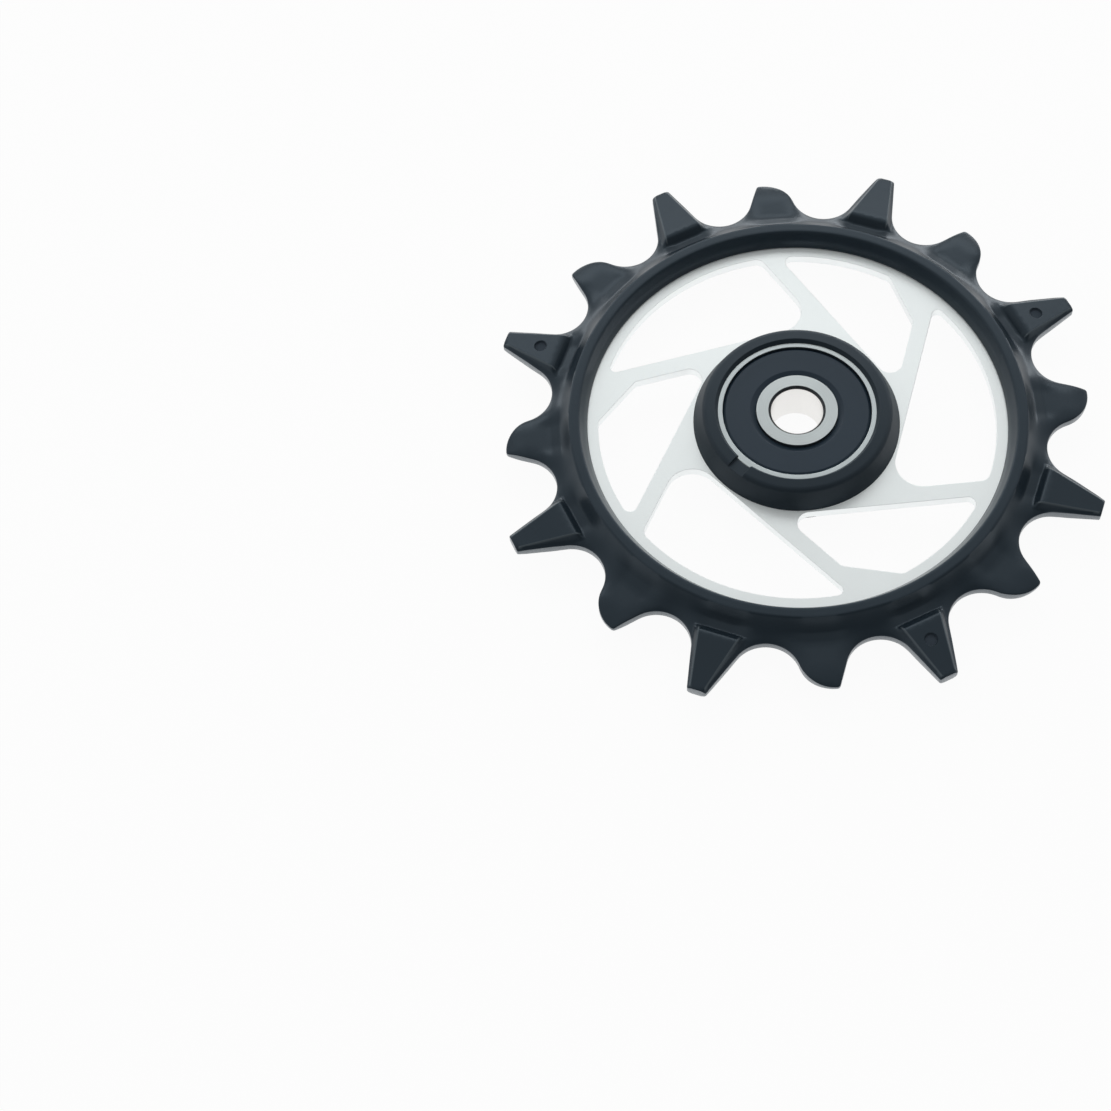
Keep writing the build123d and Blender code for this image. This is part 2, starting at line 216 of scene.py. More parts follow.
# %% [markdown]
# ## Shared effects: grain
# Real surfaces are never one colour. Effects that come back in several finishes are node
# groups, built once and placed in each material with its own values. The first is a fine grain
# with larger clouds, as moulding and blasting leave it. An image could show it too, but noise
# has no seams and can be set to any size.

# %% Build the grain
noise_middle = 0.5
vector_sockets = ("Position", "Normal")


def new_group(name, inputs, outputs):
    """A shader node group with the named sockets; returns it with its two end nodes."""
    group = bpy.data.node_groups.new(name, "ShaderNodeTree")
    for side, sockets in (("INPUT", inputs), ("OUTPUT", outputs)):
        for socket in sockets:
            kind = "NodeSocketVector" if socket in vector_sockets else "NodeSocketFloat"
            group.interface.new_socket(socket, in_out=side, socket_type=kind)
    return group, group.nodes.new("NodeGroupInput").outputs, group.nodes.new("NodeGroupOutput").inputs


def connect(tree, pairs):
    """Link each pair of sockets."""
    for source, target in pairs:
        tree.links.new(source, target)


def spread_about_middle(tree, noise, spread):
    """A noise value moved to swing about nothing, and scaled."""
    return maths(tree, "MULTIPLY", maths(tree, "SUBTRACT", noise, noise_middle), spread)


grain, given, result = new_group(
    "fine_grain",
    inputs=("Position", "Grain Size", "Cloud Size", "Cloud Spread", "Grain Spread"),
    outputs=("Tone", "Height", "Cloud"),
)
grains = add_node(grain, "ShaderNodeTexNoise", {
    "Vector": given["Position"], "Scale": maths(grain, "DIVIDE", 1.0, given["Grain Size"]),
    "Detail": 2.0, "Roughness": 0.6,
}).outputs["Fac"]
clouds = add_node(grain, "ShaderNodeTexNoise", {
    "Vector": given["Position"], "Scale": maths(grain, "DIVIDE", 1.0, given["Cloud Size"]),
    "Detail": 3.0,
}).outputs["Fac"]
cloud_tone = spread_about_middle(grain, clouds, given["Cloud Spread"])
grain_tone = spread_about_middle(grain, grains, given["Grain Spread"])
tone = maths(grain, "ADD", 1.0, maths(grain, "ADD", cloud_tone, grain_tone))
connect(grain, [(tone, result["Tone"]), (grains, result["Height"]), (clouds, result["Cloud"])])
print("group:", grain.name, "with", len(grain.nodes), "nodes")

# %% [markdown]
# ## Shared effects: turned rings and edges
# A lathe or a grinding wheel leaves fine rings on turned steel. They are a noise along one line,
# the distance from the axle, so they stay true circles. The last group rounds the shading at
# edges without touching the mesh, and its mask says where an edge is, so that a finish can lay
# a painted highlight along it.

# %% Build the rings and the edges
rings, given, result = new_group(
    "turned_rings",
    inputs=("Position", "Ring Pitch", "Spread"),
    outputs=("Tone", "Height", "Radius"),
)
flat = add_node(rings, "ShaderNodeVectorMath", {0: given["Position"], 1: (1, 1, 0)}, operation="MULTIPLY")
radius = add_node(rings, "ShaderNodeVectorMath", {0: flat.outputs[0]}, operation="LENGTH").outputs["Value"]
ring_noise = add_node(rings, "ShaderNodeTexNoise", {
    "W": maths(rings, "DIVIDE", radius, given["Ring Pitch"]), "Scale": 1.0, "Detail": 2.0,
}, noise_dimensions="1D").outputs["Fac"]
ring_tone = maths(rings, "ADD", 1.0, spread_about_middle(rings, ring_noise, given["Spread"]))
connect(rings, [(ring_tone, result["Tone"]), (ring_noise, result["Height"]), (radius, result["Radius"])])

# The mask marks edges, where a finish may lay a painted highlight.
rounded_edges_and_highlight, given, result = new_group("rounded_edges_and_painted_highlight", inputs=("Radius", "Gain"), outputs=("Mask", "Normal"))
rounded = add_node(rounded_edges_and_highlight, "ShaderNodeBevel", {"Radius": given["Radius"]}, samples=6).outputs["Normal"]
facing = add_node(rounded_edges_and_highlight, "ShaderNodeNewGeometry").outputs["Normal"]
alike = add_node(rounded_edges_and_highlight, "ShaderNodeVectorMath", {0: rounded, 1: facing}, operation="DOT_PRODUCT")
turn = maths(rounded_edges_and_highlight, "SUBTRACT", 1.0, alike.outputs["Value"])
mask = maths(rounded_edges_and_highlight, "MULTIPLY", turn, given["Gain"], clamp=True)
connect(rounded_edges_and_highlight, [(mask, result["Mask"]), (rounded, result["Normal"])])
print("groups:", [group.name for group in bpy.data.node_groups])

# %% [markdown]
# ## One recipe for all finishes
# Every finish starts from the same recipe: a base colour that the grain lightens and darkens,
# a roughness that follows the clouds, and a bump from the grain, laid on a normal that the
# edge group has already rounded. A material could be written out for each piece, but then a
# better recipe would have to be copied many times. Plain colours may lie over the base: a
# painted highlight on edges, a colour on upright walls that a cutter left, one inside a radius,
# or one where the mesh has an attribute.

# %% Write the recipe
cloud_size = 6.0
rough_spread = 0.1
edge_gain = 2.5
ring_spread = 0.25
upright_below = 0.5
cut_metal = 1.0


def use_group(tree, group, **inputs):
    """Place a node group in a tree, with its inputs by name."""
    sockets = {name.replace("_", " ").title(): value for name, value in inputs.items()}
    return add_node(tree, "ShaderNodeGroup", sockets, node_tree=group).outputs


def paint(tree, share, below, color):
    """Lay a plain colour over another one, where the share says so."""
    return add_node(tree, "ShaderNodeMix", {
        "Factor": share, "A": below, "B": (*color, 1),
    }, data_type="RGBA").outputs["Result"]


def attribute_share(tree, attribute):
    """A value from nothing to one that the mesh holds at its points."""
    return add_node(tree, "ShaderNodeAttribute", attribute_name=attribute).outputs["Fac"]


def finish(name, color, rough, metal=0.0, gloss_color=(1, 1, 1), grain_size=0.1, grain_spread=0.15,
           cloud_spread=0.2, bump=0.01, edge=0.1, edge_highlight_color=None, ring_pitch=None, within=(),
           marked_by=(), dull_by=None, cut_color=None):
    """A procedural material; lengths are in millimetres.

    The pairs in within are a radius and the colour inside it, which only a turned finish can
    have, those in marked_by are an attribute and its colour, and dull_by is an attribute and
    the roughness it brings. With a cut_color, upright walls take it and are plain metal.
    """
    made = bpy.data.materials.new(name)
    made.use_nodes = True
    tree = made.node_tree
    shader = tree.nodes["Principled BSDF"]
    shader.inputs["Metallic"].default_value = metal
    shader.inputs["Specular Tint"].default_value = (*gloss_color, 1)
    coordinates = add_node(tree, "ShaderNodeTexCoord").outputs
    place = coordinates["Object"]
    fine = use_group(tree, grain, position=place, grain_size=grain_size * MM, cloud_size=cloud_size * MM,
                     grain_spread=grain_spread, cloud_spread=cloud_spread)
    tone, relief = fine["Tone"], fine["Height"]
    if ring_pitch:
        lathe = use_group(tree, rings, position=place, ring_pitch=ring_pitch * MM, spread=ring_spread)
        tone = maths(tree, "MULTIPLY", tone, lathe["Tone"])
        relief = maths(tree, "ADD", relief, lathe["Height"])
    edges = use_group(tree, rounded_edges_and_highlight, radius=edge * MM, gain=edge_gain)
    painted = add_node(tree, "ShaderNodeVectorMath", {0: color, "Scale": tone}, operation="SCALE").outputs[0]
    # A painted highlight along the edges.
    if edge_highlight_color:
        painted = paint(tree, edges["Mask"], painted, edge_highlight_color)
    if cut_color:
        facing_up = add_node(tree, "ShaderNodeSeparateXYZ", {0: coordinates["Normal"]}).outputs["Z"]
        upright = maths(tree, "LESS_THAN", maths(tree, "ABSOLUTE", facing_up), upright_below)
        painted = paint(tree, upright, painted, cut_color)
        metallic = maths(tree, "ADD", metal, maths(tree, "MULTIPLY", upright, cut_metal - metal))
        tree.links.new(metallic, shader.inputs["Metallic"])
    for limit, zone_color in within:
        share = maths(tree, "LESS_THAN", lathe["Radius"], limit * MM)
        painted = paint(tree, share, painted, zone_color)
    for attribute, mark_color in marked_by:
        painted = paint(tree, attribute_share(tree, attribute), painted, mark_color)
    roughness = maths(tree, "ADD", rough, spread_about_middle(tree, fine["Cloud"], rough_spread))
    if dull_by:
        attribute, dull_rough = dull_by
        duller = maths(tree, "MULTIPLY", attribute_share(tree, attribute), dull_rough - rough)
        roughness = maths(tree, "ADD", roughness, duller)
    raised = add_node(tree, "ShaderNodeBump", {
        "Height": relief, "Distance": bump * MM, "Strength": 1.0, "Normal": edges["Normal"],
    }).outputs["Normal"]
    connect(tree, [
        (painted, shader.inputs["Base Color"]),
        (roughness, shader.inputs["Roughness"]),
        (raised, shader.inputs["Normal"]),
    ])
    return made


print("effects in the recipe:", grain.name, rings.name, rounded_edges_and_highlight.name)

# %% [markdown]
# ## The finishes of this wheel
# Ring and hub are moulded in black nylon, and the hub is the duller one. The bluish tint of their
# gloss stands in for a bluish light. On the ring the walls of the outline take a painted reflection,
# the edges of the pads a painted highlight, and the timing marks are dull inside, with painted
# light that lifts the shade of their hollow. The hub's edges take a painted highlight. The plate
# is blasted alloy, brighter on the walls that a cutter left. The races are turned steel. On the
# inner one the bevel of the bore is painted dark as shade and the bore itself is painted bright as
# a reflection. Balls and cage are closed in, but have their steel as well.

# %% Make the finishes
# The bluish tint of the nylon's gloss stands in for a bluish light.
nylon_gloss = (0.72, 0.87, 1.0)
rubber_gloss = (0.8, 0.9, 1.0)
bore_bevel_radius = 3.31
bore_radius = 3.02

black_nylon = finish(
    "black_nylon", (0.009, 0.017, 0.025), rough=0.30, gloss_color=nylon_gloss,
    grain_size=0.12, bump=0.004, edge=0.05,
    # A painted reflection on the walls of the outline.
    marked_by=[("outline_wall", (0.40, 0.43, 0.455)),
               # A painted highlight along the pads' edges.
               ("pad_edge", (0.19, 0.225, 0.245)),
               # Painted light inside the timing marks lifts the shade of their hollow.
               ("mark_inside", (0.035, 0.047, 0.062))],
    dull_by=("mark_inside", 0.8),
)
# The hub's edge colour is a painted highlight.
hub_nylon = finish(
    "hub_nylon", (0.008, 0.015, 0.022), rough=0.52, gloss_color=nylon_gloss,
    grain_size=0.12, bump=0.003, edge=0.1, edge_highlight_color=(0.03, 0.04, 0.045),
)
blasted_alloy = finish(
    "blasted_alloy", (0.88, 0.93, 0.93), rough=0.42, metal=0.7,
    grain_size=0.08, grain_spread=0.06, cloud_spread=0.05, bump=0.003, edge=0.08,
    cut_color=(0.97, 1.0, 1.0),
)
ground_steel = finish(
    "ground_steel", (0.46, 0.51, 0.52), rough=0.34, metal=1.0, ring_pitch=0.09,
    grain_size=0.05, bump=0.002, edge=0.08,
)
# Inside the bore's bevel the colour is painted shade, and inside the bore a painted reflection.
painted_bore_steel = finish(
    "painted_bore_steel", (0.47, 0.515, 0.52), rough=0.34, metal=1.0, ring_pitch=0.09,
    grain_size=0.05, bump=0.002, edge=0.04,
    within=[(bore_bevel_radius, (0.05, 0.055, 0.06)), (bore_radius, (0.93, 0.92, 0.90))],
)
seal_rubber = finish(
    "seal_rubber", (0.006, 0.018, 0.032), rough=0.36, gloss_color=rubber_gloss,
    grain_size=0.08, bump=0.004, edge=0.08,
)
ball_steel = finish("ball_steel", (0.7, 0.7, 0.71), rough=0.12, metal=1.0, grain_size=0.3, bump=0.0005)
cage_steel = finish("cage_steel", (0.55, 0.54, 0.52), rough=0.35, metal=1.0, bump=0.002)
print("materials, with the plain ones of the solids:", len(bpy.data.materials))

# %% [markdown]
# ## Dress the solids
# A solid whose shape is right keeps its mesh and only takes its finish. That holds for all
# pieces but the toothed ring, which is made again below.

# %% Dress the solids
finish_of = {
    "toothed_ring": black_nylon, "hub": hub_nylon, "spoke_plate": blasted_alloy,
    "bearing_inner_race": painted_bore_steel, "bearing_outer_race": ground_steel,
    "bearing_seal_front": seal_rubber, "bearing_seal_rear": seal_rubber,
    "ball_cage_front": cage_steel, "ball_cage_rear": cage_steel,
}
for name, node in nodes.items():
    node.data.materials.clear()
    node.data.materials.append(finish_of.get(name, ball_steel))
print("dressed:", len(nodes), "solids")

# %% [markdown]
# ## Toothed ring: the sizes of its teeth
# The ring is moulded in one piece, with eight tall wide teeth and eight low narrow ones in
# turn, so that wide teeth fill the outer links of a chain and narrow ones the inner links. The
# seats for its rollers lie a little outside the circle that 16 pitches of the chain make. The
# rule repeats every 45 degrees, so only one pair of teeth is drawn. Its lengths are in
# millimetres and its angles in degrees.

# %% Set the sizes of the teeth
chain_pitch = 12.7
pair_count = 8
pair_angle = 360 / pair_count
wide_angle = pair_angle / 4
narrow_angle = 3 * pair_angle / 4
seat_radius = 3.95
seat_lift = 0.35
seat_centre_radius = chain_pitch / 2 / math.sin(math.radians(pair_angle / 4)) + seat_lift
root_radius = seat_centre_radius - seat_radius
wide_tooth_height = 7.4
wide_tip_radius = root_radius + wide_tooth_height
wide_tip_low = -1.44
wide_tip_high = 0.76
narrow_tooth_height = 5.1
narrow_tip_radius = root_radius + narrow_tooth_height
narrow_back_radius = 4.0
narrow_corner_offset = 1.6
print("root radius:", round(root_radius, 3), "tip radius:", round(wide_tip_radius, 3), "mm")

# %% [markdown]
# ## Toothed ring: lines and arcs
# The outline could be drawn as a curve object, but its points are needed as numbers to build
# the face on, so a few short functions draw it: a point from a radius and an angle, a turn
# about the axle, the place where a line touches a roller seat, an arc and a straight run.

# %% Helpers for lines and arcs
draw_step = 0.01


def polar(radius, angle):
    """Point on the middle plane from a radius and an angle."""
    return np.array([radius * math.cos(math.radians(angle)), radius * math.sin(math.radians(angle))])


def turned(point, angle):
    """A point turned about the wheel's axle."""
    cosine, sine = math.cos(math.radians(angle)), math.sin(math.radians(angle))
    return np.array([cosine * point[0] - sine * point[1], sine * point[0] + cosine * point[1]])


def touch(corner, centre, side):
    """Where a line from a corner touches a roller seat."""
    reach = centre - corner
    distance = math.hypot(*reach)
    swing = side * math.degrees(math.asin(seat_radius / distance))
    return corner + turned(reach / distance, swing) * math.sqrt(distance**2 - seat_radius**2)


def arc(centre, start, end, step=draw_step):
    """Points along the shorter arc about a centre."""
    first = math.atan2(*(start - centre)[::-1])
    sweep = (math.atan2(*(end - centre)[::-1]) - first + math.pi) % (2 * math.pi) - math.pi
    radius = math.hypot(*(start - centre))
    angles = first + np.linspace(0, sweep, max(2, int(abs(sweep) * radius / step)))
    return centre + radius * np.stack([np.cos(angles), np.sin(angles)], axis=1)


def line(start, end, step=draw_step):
    """Points along a straight run."""
    share = np.linspace(0, 1, max(2, int(math.hypot(*(end - start)) / step)))[:, None]
    return start + (end - start) * share


seats = [polar(seat_centre_radius, k * pair_angle / 2) for k in range(3)]
print("roller seats of one pair:", [seat.round(2).tolist() for seat in seats])

# %% [markdown]
# ## Toothed ring: the runs of the outline
# The outline runs from the bottom of one roller seat to the bottom of the seat after next:
# round a seat, up the leaning wide tooth, round a seat, over the hooked narrow tooth, and
# round half a seat again. Flanks are lines that touch the seats. The back of the narrow tooth
# is an arc that touches the seat before it and just reaches the tip's radius. Worked out this
# way, every run starts where the last one ends, and the tooth follows when a size changes.

# %% Draw the runs of the outline
wide_corner_cut = 0.2
narrow_corner_cut = 0.3

low_corner = turned((wide_tip_radius, wide_tip_low), wide_angle)
high_corner = turned((wide_tip_radius, wide_tip_high), wide_angle)
low_foot = touch(low_corner, seats[0], -1)
high_foot = touch(high_corner, seats[1], 1)

# The narrow tooth is worked out along the X axis, with the seat before it to one side
side_seat = polar(seat_centre_radius, -wide_angle)
back_x = narrow_tip_radius - narrow_back_radius
back_y = side_seat[1] + math.sqrt((seat_radius + narrow_back_radius) ** 2 - (side_seat[0] - back_x) ** 2)
corner_x = back_x + math.sqrt(narrow_back_radius**2 - (narrow_corner_offset - back_y) ** 2)
back_centre = turned((back_x, back_y), narrow_angle)
narrow_corner = turned((corner_x, narrow_corner_offset), narrow_angle)
back_foot = seats[1] + (back_centre - seats[1]) * seat_radius / (seat_radius + narrow_back_radius)
narrow_foot = touch(narrow_corner, seats[2], 1)

# Each run is followed by how much its end corner is cut back before it is rounded
runs = [
    (arc(seats[0], polar(root_radius, 0), low_foot), 0.0),
    (line(low_foot, low_corner), wide_corner_cut),
    (line(low_corner, high_corner), wide_corner_cut),
    (line(high_corner, high_foot), 0.0),
    (arc(seats[1], high_foot, back_foot), 0.0),
    (arc(back_centre, back_foot, narrow_corner), narrow_corner_cut),
    (line(narrow_corner, narrow_foot), 0.0),
    (arc(seats[2], narrow_foot, polar(root_radius, pair_angle)), 0.0),
]
print("runs:", len(runs), "with", sum(len(points) for points, cut in runs), "fine points")

# %% [markdown]
# ## Toothed ring: the points of the outline
# The runs are drawn much finer than a mesh needs. They are taken again at an even spacing,
# and each sharp corner becomes a small curve that starts and ends on the outline itself, as a
# mould never has a knife-sharp corner.

# %% Space the points of the outline
spacing = 0.34
corner_steps = 6


def length_of(points):
    """Distances along a run, from its first point."""
    return np.concatenate([[0], np.cumsum(np.hypot(*np.diff(points, axis=0).T))])


def sample(points, low, high):
    """Evenly spaced points of a run, leaving out a length at its start and at its end."""
    along = length_of(points)
    count = max(2, round((along[-1] - low - high) / spacing) + 1)
    places = np.linspace(low, along[-1] - high, count)
    return np.stack([np.interp(places, along, points[:, k]) for k in (0, 1)], axis=1)


outline = []
for number, (points, cut) in enumerate(runs):
    before = runs[number - 1][1] if number else 0.0
    piece = sample(points, before, cut)
    if outline and before:
        start, corner, end = outline[-1], points[0], piece[0]
        share = np.linspace(0, 1, corner_steps + 1)[1:-1, None]
        outline.extend((1 - share) ** 2 * start + 2 * share * (1 - share) * corner + share**2 * end)
        outline.append(end)
    outline.extend(piece if not outline else piece[1:])
outline = np.array(outline)
print("outline points:", len(outline))

# %% [markdown]
# ## Toothed ring: slopes that blend
# Seen from the front, every point of the ring's face has one height, so the face can be
# written as a function of its place. It is put together from simple slopes and cones, and a
# smooth minimum or maximum joins two of them. Its width is the width of the blend, and so it
# is the fillet that the mould would have. First come the wide teeth, whose shoulders fall
# towards the tip, and the raised pad on each, with a bevel on both sides and at its foot.

# %% Write the height of the pads
web_top = 0.75
wide_shoulder_top = 0.5
pad_top = 1.7
wide_tip_top = 0.74
pad_foot_inset = 0.25
pad_foot_radius = root_radius - pad_foot_inset
pad_foot_half = 3.1
pad_foot_rise = 1.25
pad_tip_inset = 0.18
pad_bevel = 1.6
pad_top_blend = 0.08
pad_foot_blend = 0.55
pad_edge_width = 0.12


def smooth_min(a, b, width):
    """The lower of two heights, with a soft turn between them."""
    mix = np.clip(0.5 + 0.5 * (b - a) / width, 0, 1)
    return b * (1 - mix) + a * mix - width * mix * (1 - mix)


def smooth_max(a, b, width):
    """The higher of two heights, with a soft turn between them."""
    return -smooth_min(-a, -b, width)


def tooth_axes(x, y, angle):
    """Distances out along a tooth and across it."""
    cosine, sine = math.cos(math.radians(angle)), math.sin(math.radians(angle))
    return cosine * x + sine * y, cosine * y - sine * x


def fall_to_tip(out, root_top, tip_top):
    """Height on a slope from the root of a wide tooth to its tip."""
    return root_top - (out - root_radius) * (root_top - tip_top) / (wide_tip_radius - root_radius)


pad_low = (np.array([pad_foot_radius, -pad_foot_half]),
           np.array([wide_tip_radius, wide_tip_low + pad_tip_inset]))
pad_high = (np.array([wide_tip_radius, wide_tip_high - pad_tip_inset]),
            np.array([pad_foot_radius, pad_foot_half]))


def inside(edge, out, across):
    """How far a point lies inside one edge of the pad's foot."""
    run = (edge[1] - edge[0]) / math.hypot(*(edge[1] - edge[0]))
    return run[0] * (across - edge[0][1]) - run[1] * (out - edge[0][0])


def pad_height(x, y):
    """Height of the pad on the wide tooth, and how near a point is to the pad's upper edges."""
    out, across = tooth_axes(x, y, wide_angle)
    top = fall_to_tip(out, pad_top, wide_tip_top)
    from_edge = np.minimum(inside(pad_low, out, across), inside(pad_high, out, across))
    sides = fall_to_tip(out, web_top, wide_shoulder_top) + pad_bevel * from_edge
    foot = web_top + pad_foot_rise * (out - pad_foot_radius)
    pad = smooth_min(smooth_min(sides, top, pad_top_blend), foot, pad_foot_blend)
    edge = np.clip(1 - np.abs(sides - top) / pad_edge_width, 0, 1) * (out > root_radius)
    return pad, edge


pad_middle = polar(root_radius + wide_tooth_height / 2, wide_angle)
print("height of a pad half way up:", round(float(pad_height(*pad_middle)[0]), 3), "mm")

# %% [markdown]
# ## Toothed ring: the web
# The web is the flat level of the teeth. It has a soft bevel at the roller seats, falls in a
# longer one to the narrow tips, and follows the shoulders of the wide teeth. Each of these is
# one more slope, and the lowest one wins.

# %% Write the height of the web
seat_edge_top = 0.58
seat_bevel_width = 0.6
seat_blend = 0.3
narrow_tip_top = 0.3
narrow_bevel = 1.65
narrow_tip_blend = 0.35
shoulder_blend = 0.04


def web_height(x, y, seat_distance, beside_wide):
    """Height of the web, with its bevels at the seats, the narrow tip and the wide shoulders."""
    seat_bevel = (seat_distance - seat_radius) * (web_top - seat_edge_top) / seat_bevel_width
    web = smooth_min(web_top, seat_edge_top + seat_bevel, seat_blend)
    along_narrow = tooth_axes(x, y, narrow_angle)[0]
    past_bevel = along_narrow - narrow_tip_radius + narrow_bevel
    tip = web_top - past_bevel * (web_top - narrow_tip_top) / narrow_bevel
    web = smooth_min(web, tip, narrow_tip_blend)
    along_wide = tooth_axes(x, y, wide_angle)[0]
    shoulder = fall_to_tip(along_wide, web_top, wide_shoulder_top)
    return np.where(beside_wide, smooth_min(web, shoulder, shoulder_blend), web)


def to_nearest_seat(x, y):
    """Distance to the middle of the nearest roller seat."""
    return np.min([np.hypot(x - seat[0], y - seat[1]) for seat in seats], axis=0)


narrow_tip = polar(narrow_tip_radius, narrow_angle)
tip_height = web_height(*narrow_tip, to_nearest_seat(*narrow_tip), beside_wide=False)
print("height of the web at a narrow tip:", round(float(tip_height), 3), "mm")

# %% [markdown]
# ## Toothed ring: the rim's wall and the valleys
# The rim stands high above the web. Outside its flat land, a wall runs down to each tooth, in a
# hollow curve with a straight apron. Between the teeth the wall opens into a valley, which
# slopes all the way down to the roller seat and bends up towards the rim.

# %% Write the wall and the valleys
rim_top = 2.7
rim_width = 4.55
lip_radius = root_radius - rim_width
land_end = 2.1
land_outer_radius = lip_radius + land_end
wall_run = 1.2
wall_hollow = 1.5
apron_run = 2.4
wide_apron_share = 0.25
narrow_apron_share = 0.4
valley_edge_top = 0.55
valley_slope = 0.56
valley_bend = 0.26
valley_bend_from = 0.8


def wall_share(outward, beside_wide):
    """How much of the rim's height is left at a distance outside its land."""
    apron_share = np.where(beside_wide, wide_apron_share, narrow_apron_share)
    hollow = (1 - apron_share) * np.maximum(1 - outward / wall_run, 0) ** wall_hollow
    return hollow + apron_share * np.maximum(1 - outward / apron_run, 0)


def valley_height(radius, seat_distance):
    """Height of the valley that slopes from the rim down to a roller seat."""
    near_rim = np.clip(1 - (radius - land_outer_radius) / (root_radius - land_outer_radius), 0, 1)
    beyond = near_rim * (root_radius - radius) + (1 - near_rim) * (seat_distance - seat_radius)
    bend = np.maximum(beyond - valley_bend_from, 0) ** 2
    return valley_edge_top + valley_slope * beyond + valley_bend * bend


print("height of a valley at its seat:", round(float(valley_height(root_radius, seat_radius)), 3), "mm")

# %% [markdown]
# ## Toothed ring: the whole face
# The rim has a sloping lip on its inner side and a flat land. Outside the land, a share that
# swings from seat to tooth mixes the valley with the tooth and its wall, which a row of
# separate fillets could hardly do so smoothly. The pad comes last, on top of the rest.

# %% Join the face
lip_top = 0.85
lip_width = 0.92
lip_blend = 0.2
land_inner_radius = lip_radius + lip_width
land_blend = 0.1
valley_ends = (0.15, 0.75)
pad_blend = 0.35


def face_height(x, y):
    """Height of the ring's front face above its middle plane, and where a pad's edge is."""
    radius = np.hypot(x, y)
    seat_distance = to_nearest_seat(x, y)
    turns = np.degrees(np.arctan2(y, x)) / wide_angle
    beside_wide = turns < 2
    from_seat = np.abs(turns - 2 * np.round(turns / 2))
    share = np.clip((from_seat - valley_ends[0]) / (valley_ends[1] - valley_ends[0]), 0, 1)
    share = share**2 * (3 - 2 * share)
    wall = (rim_top - web_top) * wall_share(radius - land_outer_radius, beside_wide)
    tooth_side = web_height(x, y, seat_distance, beside_wide) + wall
    outside = (1 - share) * valley_height(radius, seat_distance) + share * tooth_side
    lip = lip_top + (radius - lip_radius) * (rim_top - lip_top) / (land_inner_radius - lip_radius)
    rim = smooth_min(smooth_min(lip, rim_top, lip_blend), outside, land_blend)
    pad, edge = pad_height(x, y)
    return smooth_max(rim, pad, pad_blend), edge


narrow_middle = polar(root_radius + narrow_tooth_height / 2, narrow_angle)
print("height half way up a narrow tooth:", round(float(face_height(*narrow_middle)[0]), 3), "mm")

# %% [markdown]
# ## Toothed ring: lines to build the face on
# The face's mesh could be a plain grid, but the pads' edges would then cross its cells and
# look torn. So the lines that matter are laid down first, and the triangulation later keeps
# them. Here they are the outline, with three rows just inside it for its rounded edge, and
# rings round the rim and its walls.

# %% Lay the outline and the rings of the rim
edge_round = 0.14
edge_rows = (0.0, 0.02, 0.06, edge_round)
soft_rows = (-0.14, -0.05, 0.05, 0.14)
line_room = 0.24
lip_row = 0.45
wall_rows_inset = 0.78
wall_row_step = 0.13
rim_columns = 61

flat_points = []
flat_edges = []


def lay(points, closed=False):
    """Add a row of points, joined into a line that the triangulation keeps."""
    first = len(flat_points)
    flat_points.extend(Vector(point) for point in points)
    flat_edges.extend((first + k, first + k + 1) for k in range(len(points) - 1))
    if closed:
        flat_edges.append((first + len(points) - 1, first))
    return range(first, len(flat_points))


ahead = np.vstack([outline[1:], outline[-1:]]) - np.vstack([outline[:1], outline[:-1]])
normals = np.stack([ahead[:, 1], -ahead[:, 0]], axis=1) / np.hypot(*ahead.T)[:, None]
normals[0] = polar(1, 0)
normals[-1] = polar(1, pair_angle)
outline_rows = [lay(outline - inset * normals) for inset in edge_rows]

rim_radii = [lip_radius, lip_radius + lip_row]
rim_radii += [land_inner_radius + offset for offset in soft_rows]
rim_radii += list(np.arange(land_outer_radius - wall_rows_inset, root_radius - line_room, wall_row_step))
rim_angles = np.linspace(0, pair_angle, rim_columns)
rim_rows = [lay([polar(radius, angle) for angle in rim_angles]) for radius in rim_radii]
print("rows along the outline:", len(outline_rows), "rings round the rim:", len(rim_rows))

# %% [markdown]
# ## Toothed ring: lines of the pad and the timing mark
# Each bevel of a pad has a lower line, where it leaves the tooth, and an upper one, where it
# reaches the sloping top. A few rows lie along both, so that the soft turns have enough
# points, and only as far as the outline leaves room. Small rings make place for the timing
# mark in the middle of the pad.

# %% Lay the lines of the pad
mark_height = 2.9
mark_out = root_radius + mark_height
mark_radius = 0.75
mark_rows = (0.1, 0.03, -0.04, -0.12)
mark_points = 20

outline_tree = KDTree(sum(len(points) for points, cut in runs))
for number, point in enumerate(np.vstack([points for points, cut in runs])):
    outline_tree.insert((*point, 0), number)
outline_tree.balance()
outline_angles = np.degrees(np.arctan2(outline[:, 1], outline[:, 0]))


def room(point):
    """How far inside the outline a point lies, or less than nothing outside it."""
    reach = np.interp(math.degrees(math.atan2(point[1], point[0])), outline_angles, np.hypot(*outline.T))
    gap = outline_tree.find((*point, 0))[2]
    return gap if math.hypot(*point) < reach else -gap


pad_fall = (pad_top - wide_tip_top - web_top + wide_shoulder_top) / (wide_tip_radius - root_radius)


def pad_edge(start, end, bevel):
    """The line where one bevel of the pad reaches its sloping top."""
    run = (end - start) / math.hypot(*(end - start))
    inward = np.array([-run[1], run[0]])
    rises = [pad_top - web_top - (point[0] - root_radius) * pad_fall for point in (start, end)]
    steep = bevel + pad_fall * inward[0]
    return [point + inward * rise / steep for point, rise in zip((start, end), rises)]


pad_foot = (pad_high[1], pad_low[0])
for side, bevel in ((pad_low, pad_bevel), (pad_high, pad_bevel), (pad_foot, pad_foot_rise)):
    for start, end in (side, pad_edge(*side, bevel)):
        run = (end - start) / math.hypot(*(end - start))
        for offset in soft_rows:
            shift = offset * np.array([-run[1], run[0]])
            row = [turned(point, wide_angle) for point in line(start + shift, end + shift, spacing)]
            lay([point for point in row if room(point) > line_room])

